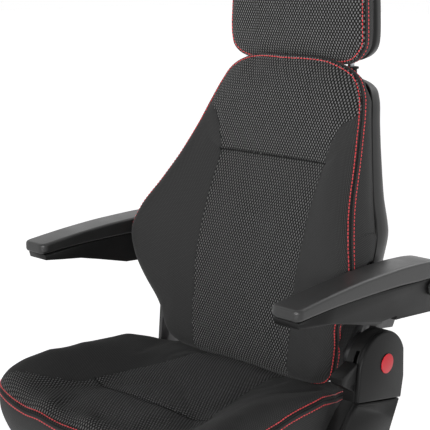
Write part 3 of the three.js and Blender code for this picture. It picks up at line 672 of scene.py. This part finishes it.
    def build(self, name, body, is_mesh_panel):
        """Makes the piece, with the attributes that its cloth material reads."""
        rings = len(self.grid)
        vertices = with_ends(self.grid)
        faces = outward(ring_faces(rings, AROUND), vertices)
        piece = new_object(name, vertices, faces, CLOTH, body)
        panel = np.zeros((rings, AROUND))
        panel[:self.seam_ring] = is_mesh_panel(self.flat.reshape(-1, 2)).reshape(self.face.shape[:2])
        # Painted shade: "seam" is 1 in the valleys of the panel seams and along the edge seam, where the
        # cloth is painted darker.
        dark = np.zeros((rings, AROUND))
        dark[:self.seam_ring] = self.sewn**1.5
        dark = np.maximum(dark, np.exp(-(self.offset / 1.1) ** 2)[:, None])
        run = np.concatenate([[0], np.cumsum(np.linalg.norm(np.diff(self.edge, axis=0), axis=1))])
        cloth = np.zeros((rings, AROUND, 3))
        cloth[:self.seam_ring, :, :2] = self.flat
        cloth[self.seam_ring:, :, 0] = run
        cloth[self.seam_ring:, :, 1] = self.offset[self.seam_ring:, None]
        add_attribute(piece, "mesh", with_ends(panel))
        add_attribute(piece, "seam", with_ends(dark))
        add_attribute(piece, "cloth", with_ends(cloth) * MM, "FLOAT_VECTOR")
        return piece


STITCH_PITCH = 6.7
STITCH_LENGTH = 5.1
THREAD_R = 0.95
THREAD_SIDES = 6
# Along each thread: share of its length, height over the cloth and thickness.
THREAD_PROFILE = ((0.0, -0.5, 0.5), (0.12, 0.15, 0.9), (0.32, 0.5, 1.0), (0.68, 0.5, 1.0), (0.88, 0.15, 0.9),
                  (1.0, -0.5, 0.5))


def stitch_row(loop, facing):
    """Short rounded threads laid end to end along a closed loop on the cloth."""
    loop = np.concatenate([loop, loop[:1]])
    facing = np.concatenate([facing, facing[:1]])
    run = np.concatenate([[0], np.cumsum(np.linalg.norm(np.diff(loop, axis=0), axis=1))])
    count = int(run[-1] / STITCH_PITCH)
    pitch = run[-1] / count
    turns = np.linspace(0, 2 * np.pi, THREAD_SIDES, endpoint=False)

    def along(s, values):
        return np.array([np.interp(s, run, values[:, k]) for k in range(3)]).T

    vertices, faces = [], []
    starts = np.arange(count) * pitch
    for share, lift, thick in THREAD_PROFILE:
        s = starts + share * STITCH_LENGTH * pitch / STITCH_PITCH
        up = unit(along(s, facing))
        side = unit(np.cross(along(s + 1, loop) - along(s - 1, loop), up))
        middle = along(s, loop) + up * lift
        for turn in turns:
            vertices.append(middle + THREAD_R * thick * (side * math.cos(turn) + up * math.sin(turn)))
    ordered = np.array(vertices).transpose(1, 0, 2).reshape(-1, 3)
    per = len(THREAD_PROFILE) * THREAD_SIDES
    for n in range(count):
        base = n * per
        for ring in range(len(THREAD_PROFILE) - 1):
            a = base + ring * THREAD_SIDES
            for i in range(THREAD_SIDES):
                j = (i + 1) % THREAD_SIDES
                faces.append((a + i, a + j, a + THREAD_SIDES + j, a + THREAD_SIDES + i))
        faces.append(tuple(base + i for i in reversed(range(THREAD_SIDES))))
        faces.append(tuple(base + per - THREAD_SIDES + i for i in range(THREAD_SIDES)))
    return ordered, faces


def stitching(name, cushion, body):
    """Both rows of red stitches along a cushion's edge seam, as one piece."""
    vertices, faces = np.empty((0, 3)), []
    for loop, facing in cushion.stitch_rings():
        points, quads = stitch_row(loop, facing)
        base = len(vertices)
        vertices = np.concatenate([vertices, points])
        faces += [tuple(base + i for i in face) for face in quads]
    return new_object(name, vertices, faces, THREAD, body)


# ------------------------------------------------------------------ back cushion
# Height: how far back the middle of the insert, its edge and the edge seam are, and the half widths of
# the insert and of the cushion.
BACK_ROWS = (
    (-62, -44, -44, -16, 108, 160),
    (-45, -47, -48, -23, 112, 187),
    (-20, -48, -50, -30, 114, 200),
    (20, -45, -47, -40, 118, 212),
    (58, -37, -43, -56, 119, 223),
    (116, -30, -38, -68, 120, 246),
    (160, -19, -27, -65, 120, 255.5),
    (204, -5, -12.6, -51, 120, 243),
    (250, 12, 5, -22, 120, 221),
    (291, 29, 25, 6, 120, 205),
    (320, 37, 35, 24, 123, 196),
    (359, 43, 44, 45, 132, 185),
    (398, 49, 52, 64, 134, 175),
    (436, 56, 62, 81, 123, 161),
    (464, 62, 69, 88, 102, 141),
    (486, 69, 74, 85, 58, 90),
)
BACK_ROLL = 19.0  # how far the seam lies behind the rolled edge of the bolsters
BACK_ROLL_LOW = 30.0  # at the bottom, where the seam tucks under
LIP_INSET = 15.0  # the gusset tapers in by this much on its way to the rear
# Outline of the rear shell: height and half width, from the bottom up.
SHELL_OUTLINE = ((-2, 120), (14, 172), (60, 205), (110, 222), (160, 231), (204, 232), (262, 209), (320, 190),
                 (378, 172), (420, 160), (442, 146), (454, 118), (457, 80), (458, 30))
BACK_CENTRE = (0.0, 215.0)
BACK_TOP = 491.0
BACK_BOTTOM = -66.0
INSERT_TOP = 313.0
BOLSTER_SWELL = 4.0


PANEL_SEAM = 0.22  # a flat-sewn join of two cloths shows this much of a seam's valley


def both_sides(points):
    """Points on the left, bottom to top, then their mirror images, top to bottom."""
    return list(points) + [(-x, z) for x, z in reversed(points)]


def back_outline():
    left = [(row[5], row[0]) for row in BACK_ROWS]
    side = both_sides(left)
    return closed_curve([(0, BACK_BOTTOM)] + side[:len(left)] + [(0, BACK_TOP)] + side[len(left):])


def back_roll(points):
    """The roll grows towards the bottom and fades towards the top."""
    z = points[:, 1]
    return BACK_ROLL * (1 - 0.72 * ease(z, 290, 410)) + (BACK_ROLL_LOW - BACK_ROLL) * (1 - ease(z, -45, 20))


def back_base():
    places, depths = [], []
    for z, middle, insert, edge, inner, outer in BACK_ROWS:
        crest = (inner + outer) / 2
        swell = BOLSTER_SWELL * float(ease(z, 20, 110) * (1 - ease(z, 250, 340)))
        edge -= float(back_roll(np.array([[outer, z]]))[0])
        for x, y in ((inner, insert), (crest, (insert + edge) / 2 - swell), (outer, edge)):
            places += [(x, z), (-x, z)]
            depths += [y, y]
        places += [(0, z), (inner * 0.5, z), (-inner * 0.5, z)]
        depths += [middle, middle * 0.75 + insert * 0.25, middle * 0.75 + insert * 0.25]
    for z, y in ((BACK_TOP, 71), (BACK_BOTTOM, -16 - BACK_ROLL_LOW)):
        places.append((0, z))
        depths.append(y)
    return thin_plate(places, depths)


def back_seams():
    side = [(112, -66), (116, -10), (118, 35), (119, 90), (120, 200), (120, 285), (122, 315), (128, 342),
            (139, 366), (156, 390), (180, 410)]
    insert = open_curve(side)
    across = open_curve([(-123, INSERT_TOP), (-60, INSERT_TOP + 1), (60, INSERT_TOP + 1), (123, INSERT_TOP)])
    return (insert, PANEL_SEAM), (np.array([(-x, z) for x, z in insert]), PANEL_SEAM), (across, 1.0)


def rear_plane(z):
    """The leaning plane that the rear of the back keeps to."""
    return 56 + 0.181 * z


def shell_lip(z):
    """Above the recliner the rear shell's lip runs forward of the rear plane, most of all at mid height."""
    return rear_plane(z) - np.clip(95 - 0.179 * z, 0, 57) * ease(z, 90, 150)


def back_rear(z):
    """How far back the gusset's rear edge is: on the shell's lip, sloping away at the bottom and top."""
    low = np.where(z < 0, 44 + 0.8 * (z + 40), 999)
    return np.minimum(np.minimum(shell_lip(z), low), 90 + 0.6 * (496 - z))


def gusset_taper(edge):
    """How far in the rear of the gusset lies: on the shell's lip where there is one beside it."""
    z = edge[:, 1]
    lip = np.interp(z, [row[0] for row in SHELL_OUTLINE], [row[1] for row in SHELL_OUTLINE])
    beside = ease(z, 100, 150) * (1 - ease(z, 428, 450))
    return LIP_INSET + beside * (np.clip(np.abs(edge[:, 0]) - lip, 2, 24) - LIP_INSET)


def clear_of_arms(grid):
    """Keeps the sides of the cushion off the frame's arms and the armrest brackets."""
    x, y, z = grid[..., 0], grid[..., 1], grid[..., 2]
    arms = 48 * ease(y, -54, -36) * (1 - ease(z, 97, 118))
    brackets = 30 * ease(y, -16, 2) * ease(z, 15, 30) * (1 - ease(z, 157, 175))
    widest = 257 - np.maximum(arms, brackets)
    grid[..., 0] = np.clip(x, -widest, widest)


def make_back():
    base = back_base()
    seams = back_seams()
    face_in = seams[0][0]

    def puff(points):
        inside = np.abs(points[:, 0]) < np.interp(points[:, 1], face_in[:, 1], face_in[:, 0])
        return np.where(inside | (points[:, 1] > 395), 3.5, 4.5)

    def is_mesh(points):
        edge = np.interp(points[:, 1], face_in[:, 1], face_in[:, 0])
        return ((np.abs(points[:, 0]) < edge) | (points[:, 1] > 404)).astype(float)

    back = Cushion(back_outline(), BACK_CENTRE, base, seams, puff, back_roll, upright, -1)
    rear2 = back.edge - back.normal2 * gusset_taper(back.edge)[:, None]
    rear = upright(rear2, back_rear(rear2[:, 1]))
    back.close(rear, 5.0, 32.0, np.array([0.0, -1.0, 0.0]))
    back.round_edge(14, 12, 5)
    back.swell(4.0, 6.0)
    clear_of_arms(back.grid)
    back.sew_edge()
    piece = back.build("backrest_fabric_cushion", "back", is_mesh)
    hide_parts("backrest_cushion")
    stitching("backrest_stitching", back, "back")


# ------------------------------------------------------------------ seat cushion
# Place along the seat: heights of the insert, the bolster's crest and the edge seam, and the half
# widths of the insert and of the cushion.
SEAT_ROWS = (
    (35, -74, -74, -84, 90, 190),
    (-20, -70, -68, -76, 93, 202),
    (-60, -60, -60, -62, 97, 222),
    (-108, -59, -47, -48, 102, 238),
    (-176, -60, -33, -49, 113, 241),
    (-231, -61, -26, -53, 126, 245),
    (-301, -64, -24, -57, 137, 255),
    (-352, -66, -32, -62, 120, 263),
    (-390, -68, -47, -70, 90, 262),
)
SEAT_ROLL = 18.0  # how far the seam lies below the rolled edge
SEAT_CENTRE = (0.0, -200.0)
SEAT_FRONT = -428.0
SEAT_CREST_IN = 26.0  # the crest of the side bolster lies this far in from the edge
SEAT_SEAM_Y = -289.0
SEAT_BASE = -141.7
SEAT_CLEAR_R = 70.0  # the cushion stays outside this radius of the recline axis


def seat_outline():
    left = [(row[5], row[0]) for row in reversed(SEAT_ROWS[:-1])]
    front = [(0, SEAT_FRONT), (129, -425), (206, -414), (246, -399), (263, -380)]
    rear = [(176, 40), (0, 42)]
    half = front + left + rear
    return closed_curve(half + [(-x, y) for x, y in reversed(half[1:-1])])


def seat_base():
    places, depths = [], []
    for y, insert, crest, edge, inner, outer in SEAT_ROWS:
        side = outer - SEAT_CREST_IN
        edge += SEAT_ROLL
        for x, z in ((inner, insert), (side, crest), (outer, edge)):
            places += [(x, y), (-x, y)]
            depths += [z, z]
        places += [(0, y), (inner * 0.5, y), (-inner * 0.5, y)]
        depths += [insert, insert, insert]
    for x, y, z in ((0, -428, -59), (70, -427, -59), (138, -424, -58), (206, -414, -55), (244, -403, -53),
                    (0, -400, -60), (100, -399, -59), (180, -394, -51)):
        places += [(x, y)] if x == 0 else [(x, y), (-x, y)]
        depths += [z] if x == 0 else [z, z]
    return thin_plate(places, depths)


def seat_seams():
    inner = [(92, 44), (94, -20), (97, -82), (106, -148), (121, -207), (134, -262), (138, -274)]
    outer = [(138, -274), (147, -312), (169, -348), (204, -373), (238, -390), (268, -404)]
    side = np.concatenate([open_curve(inner), open_curve(outer)[1:]])
    across = open_curve([(-138, -274), (-75, SEAT_SEAM_Y + 4), (0, SEAT_SEAM_Y), (75, SEAT_SEAM_Y + 4),
                         (138, -274)])
    return (side, PANEL_SEAM), (np.array([(-x, y) for x, y in side]), PANEL_SEAM), (across, 0.8)


def make_seat():
    seams = seat_seams()
    side = seams[0][0][np.argsort(seams[0][0][:, 1])]

    def puff(points):
        return np.full(len(points), 4.0)

    def is_mesh(points):
        return (np.abs(points[:, 0]) < np.interp(points[:, 1], side[:, 1], side[:, 0])).astype(float)

    def roll(points):
        return np.full(len(points), SEAT_ROLL)

    seat = Cushion(seat_outline(), SEAT_CENTRE, seat_base(), seams, puff, roll, lying, 1)
    rear2 = seat.edge - seat.normal2 * 12
    seat.close(lying(rear2, np.full(AROUND, SEAT_BASE)), 6.0, 14.0, np.array([0.0, 0.0, 1.0]))
    seat.round_edge(14, 12, 5)
    seat.swell(4.0, 6.0)
    y = np.clip(np.abs(seat.grid[..., 1]), 0, SEAT_CLEAR_R)
    ceiling = -np.sqrt(SEAT_CLEAR_R**2 - y**2)
    behind = seat.grid[..., 1] > -SEAT_CLEAR_R
    seat.grid[..., 2] = np.where(behind, np.minimum(seat.grid[..., 2], ceiling), seat.grid[..., 2])
    seat.grid[..., 2] = np.maximum(seat.grid[..., 2], SEAT_BASE)
    seat.sew_edge()
    piece = seat.build("seat_fabric_cushion", "seat_top", is_mesh)
    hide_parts("seat_cushion")
    stitching("seat_stitching", seat, "seat_top")


# ------------------------------------------------------------------ head restraint
# Height: half width, and how far back the edge seam and the middle are.
HEAD_ROWS = ((480, 112, 103, 101), (500, 145, 95, 88), (563, 152, 91, 81), (620, 146, 94, 84),
             (652, 132, 101, 91), (668, 92, 108, 103))
HEAD_CENTRE = (0.0, 574.0)
HEAD_REAR = 127.0
HEAD_ROLL = 8.0


def make_head():
    half = [(0, 478), (60, 478.5), (112, 480), (136, 489), (150, 508), (152, 563), (146, 620), (136, 648),
            (118, 664), (82, 669), (0, 670)]
    outline = closed_curve(half + [(-x, z) for x, z in reversed(half[1:-1])])
    places, depths = [], []
    for z, width, seam, middle in HEAD_ROWS:
        places += [(0, z), (width * 0.5, z), (-width * 0.5, z), (width, z), (-width, z)]
        depths += [middle, middle + 2, middle + 2, seam, seam]
    base = thin_plate(places, depths)

    def puff(points):
        return np.full(len(points), 3.0)

    def roll(points):
        return HEAD_ROLL * ease(points[:, 1], 485, 520)

    def is_mesh(points):
        return np.ones(len(points))

    head = Cushion(outline, HEAD_CENTRE, base, (), puff, roll, upright, -1)
    rear = upright(head.edge - head.normal2 * 5, np.full(AROUND, HEAD_REAR))
    head.close(rear, 2.0, 0.0, np.array([0.0, -1.0, 0.0]))
    head.round_edge(14, 12, 5)
    head.swell(3.0, 4.0)
    head.sew_edge()
    piece = head.build("headrest_fabric_cushion", "headrest", is_mesh)
    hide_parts("headrest_cushion")
    stitching("headrest_stitching", head, "headrest")


# ------------------------------------------------------------------ smooth shells and armrest pads
# Rings of the rear shell: inset, share of the way back from the lip to the rear plane, depth behind that.
SHELL_RINGS = ((0, 0, 0.3), (0.6, 0.01, 4), (2, 0.04, 14), (5, 0.10, 26), (9, 0.2, 33), (16, 0.35, 38),
               (38, 0.75, 44))
SHELL_SIZES = (0.85, 0.7, 0.55, 0.4, 0.25, 0.1)  # of the shrinking loops that close a shell's middle
SHELL_CROWN = 4.0  # how far the middle of the rear shell stands out behind its last ring
SHELL_WALL = 3.0
SHELL_MIDDLE = 230.0
HEAD_SHELL_DEPTH = 40.0
# Rings of the head restraint's shell: inset, depth behind the cushion.
HEAD_SHELL_RINGS = ((0, 0.3), (0.5, 12), (3, 26), (8, 32), (16, 36), (30, 38.5))


def moved_in(outline, inset):
    """A closed outline moved in towards its middle by a distance."""
    tangent = np.roll(outline, -1, 0) - np.roll(outline, 1, 0)
    return outline - unit(np.stack([tangent[:, 1], -tangent[:, 0]], 1)) * inset


def shell_solid(name, outer, body, cad):
    """A closed shell: the outer rings, then the same rings inside the wall, back to the lip."""
    middle = np.mean(outer[-1], axis=0) * (1, 0, 1)
    inner = []
    for ring in outer:
        inwards = middle - ring * (1, 0, 1)
        reach = np.minimum(SHELL_WALL / np.linalg.norm(inwards, axis=1), 0.03)[:, None]
        inner.append(ring + inwards * reach - np.array([0, 0 if ring is outer[0] else SHELL_WALL, 0]))
    rings = np.array([*reversed(outer), *inner])
    vertices = with_ends(rings)
    faces = outward(ring_faces(len(rings), len(outer[0])), vertices)
    piece = new_object(name, vertices, faces, PLASTIC, body)
    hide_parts(cad)


def make_shells():
    """The smooth rear shells of the back and of the head restraint."""
    side = [(half, z) for z, half in SHELL_OUTLINE]
    outline = closed_curve([(0, -4)] + side + [(0, 458)] + [(-x, z) for x, z in reversed(side)], 420)
    rings = []
    for inset, share, depth in SHELL_RINGS:
        flat = moved_in(outline, inset)
        lip = shell_lip(flat[:, 1])
        y = lip + share * (rear_plane(flat[:, 1]) - lip) + depth
        rings.append(upright(flat, y))
    last = flat
    share, depth = SHELL_RINGS[-1][1:]
    for size in SHELL_SIZES:
        flat = last * size + np.array([0, SHELL_MIDDLE]) * (1 - size)
        lip = shell_lip(flat[:, 1])
        y = lip + (1 - (1 - share) * size**2) * (rear_plane(flat[:, 1]) - lip) + depth
        rings.append(upright(flat, y + SHELL_CROWN * (1 - size**2)))
    shell_solid("back_rear_shell", rings, "back", "back_shell")
    half = [(60, 480), (108, 482), (132, 491), (146, 509), (148, 563), (142, 620), (132, 647), (113, 662),
            (82, 666.5)]
    outline = closed_curve([(0, 480)] + half + [(0, 667)] + [(-x, z) for x, z in reversed(half)], 320)
    rings = []
    for inset, depth in HEAD_SHELL_RINGS:
        flat = moved_in(outline, inset)
        rings.append(upright(flat, np.full(len(flat), HEAD_REAR + depth)))
    last = rings[-1]
    middle = np.array([0, HEAD_REAR + HEAD_SHELL_DEPTH, HEAD_CENTRE[1]])
    for size in SHELL_SIZES:
        rings.append(last * (size, size**2, size) + middle * (1 - size, 1 - size**2, 1 - size))
    shell_solid("headrest_rear_shell", rings, "headrest", "headrest_shell")


PAD_IN, PAD_OUT = 264.0, 320.0
PAD_TIP, PAD_REAR = -281.0, 100.0
# Place along the pad: heights of its bottom and top.
PAD_ROWS = ((-281, 142, 160), (-235, 144, 164.5), (-180, 145.5, 169), (-100, 145, 173), (-20, 143, 174),
            (51, 138.5, 171), (84, 137.5, 167), (100, 137, 163))
PAD_NOSE = 13.0  # radius of the pad's ends in plan
PAD_EDGE = 5.5  # radius of its long edges
PAD_RINGS = 90
PAD_SIDES = 12  # points in each rounded corner


def make_pad(side, sign):
    """A soft armrest pad: rounded-rectangle sections from tip to rear, closing in towards both ends."""
    share = (1 - np.cos(np.linspace(0, np.pi, PAD_RINGS))) / 2
    y = PAD_TIP + (PAD_REAR - PAD_TIP) * share
    low = smooth_through([(row[0], row[1]) for row in PAD_ROWS], y)
    high = smooth_through([(row[0], row[2]) for row in PAD_ROWS], y)
    end = np.minimum(y - PAD_TIP, PAD_REAR - y)
    nose = PAD_NOSE - np.sqrt(np.maximum(PAD_NOSE**2 - np.clip(PAD_NOSE - end, 0, None) ** 2, 0))
    lift = 0.6 * PAD_EDGE - 0.6 * np.sqrt(np.maximum(PAD_EDGE**2 - np.clip(PAD_EDGE - end, 0, None) ** 2, 0))
    corner = np.linspace(0, np.pi / 2, PAD_SIDES)
    rings = []
    for k in range(PAD_RINGS):
        x0, x1, z0, z1 = PAD_IN + nose[k], PAD_OUT - nose[k], low[k] + lift[k], high[k] - lift[k]
        r = min(PAD_EDGE, (z1 - z0) / 2.1, (x1 - x0) / 2.1)
        ring = []
        corners = ((x1 - r, z1 - r), (x0 + r, z1 - r), (x0 + r, z0 + r), (x1 - r, z0 + r))
        for quarter, (cx, cz) in enumerate(corners):
            turn = corner + quarter * np.pi / 2
            ring += [(sign * (cx + r * math.cos(t)), y[k], cz + r * math.sin(t)) for t in turn]
        rings.append(ring)
    rings = np.array(rings)
    vertices = with_ends(rings)
    faces = outward(ring_faces(PAD_RINGS, rings.shape[1]), vertices)
    piece = new_object(f"armrest_soft_pad_{side}", vertices, faces, SKIN, f"armrest_{side}")
    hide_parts(f"armrest_pad_{side}")


# ------------------------------------------------------------------ the carried-over CAD pieces
def dress(nodes, material, bevel=0.8, segments=2):
    """Gives CAD nodes their material, joins their split corners and softens their hard edges."""
    for name in nodes:
        piece = frame["nodes"][name]
        piece.data.materials.clear()
        piece.data.materials.append(material)
        weld = piece.modifiers.new("weld", "WELD")
        weld.merge_threshold = 0.02 * MM
        flat = piece.modifiers.new("flat", "DECIMATE")
        flat.decimate_type = "DISSOLVE"
        flat.angle_limit = math.radians(0.6)
        if bevel:
            edge = piece.modifiers.new("edge", "BEVEL")
            edge.width = bevel * MM
            edge.segments = segments
            edge.limit_method = "ANGLE"
            edge.angle_limit = math.radians(32)
            edge.harden_normals = True
            edge.use_clamp_overlap = True
        shade_smooth(piece.data)


def both(*names):
    return [f"{name}_{side}" for name in names for side in ("left", "right")]


CLOTH = fabric_material()
THREAD = thread_material()
PLASTIC = moulded_material("moulded_plastic", 0.010, 0.38, 900.0, 0.10 * MM, 0.14)
SKIN = moulded_material("armrest_skin", 0.014, 0.36, 700.0, 0.16 * MM)
STEEL = metal_material("black_steel", (0.02, 0.02, 0.021), 0.38, 0.0)
ZINC = metal_material("zinc_steel", (0.42, 0.43, 0.45), 0.33, 1.0)
NYLON = moulded_material("nylon", 0.62, 0.5, 500.0, 0.05 * MM)
RED = badge_material()

make_camera()
make_studio()
make_back()
make_seat()
make_head()
make_shells()
make_pad("left", 1)
make_pad("right", -1)
dress(both("armrest_body", "armrest_hub_cap", "armrest_wheel", "headrest_sleeve")
      + ["headrest_core", "suspension_mat", "pivot_cover_right", "recliner_lever",
         "recliner_housing_left", "recliner_cover_left", "lower_side_cover_left"], PLASTIC)
dress(both("lower_rail", "rail_riser", "side_plate", "slide_bar_hanger", "back_arm", "back_side_tube",
           "armrest_bracket") + ["seat_pan", "slide_bar", "lower_cross_tube", "upper_cross_tube",
                              "recliner_disc_left"], STEEL)
dress(both("upper_rail", "slide_latch", "armrest_hinge_bolt", "headrest_post")
      + ["slide_bar_spring", "recliner_shaft", "lever_return_spring", "pivot_bolt_right",
         "mat_wire_lower", "mat_wire_upper"], ZINC, 0.5)
dress(both("rail_glide"), NYLON, 0.5)
dress(["badge_cap_left"], RED, 0.6, 3)
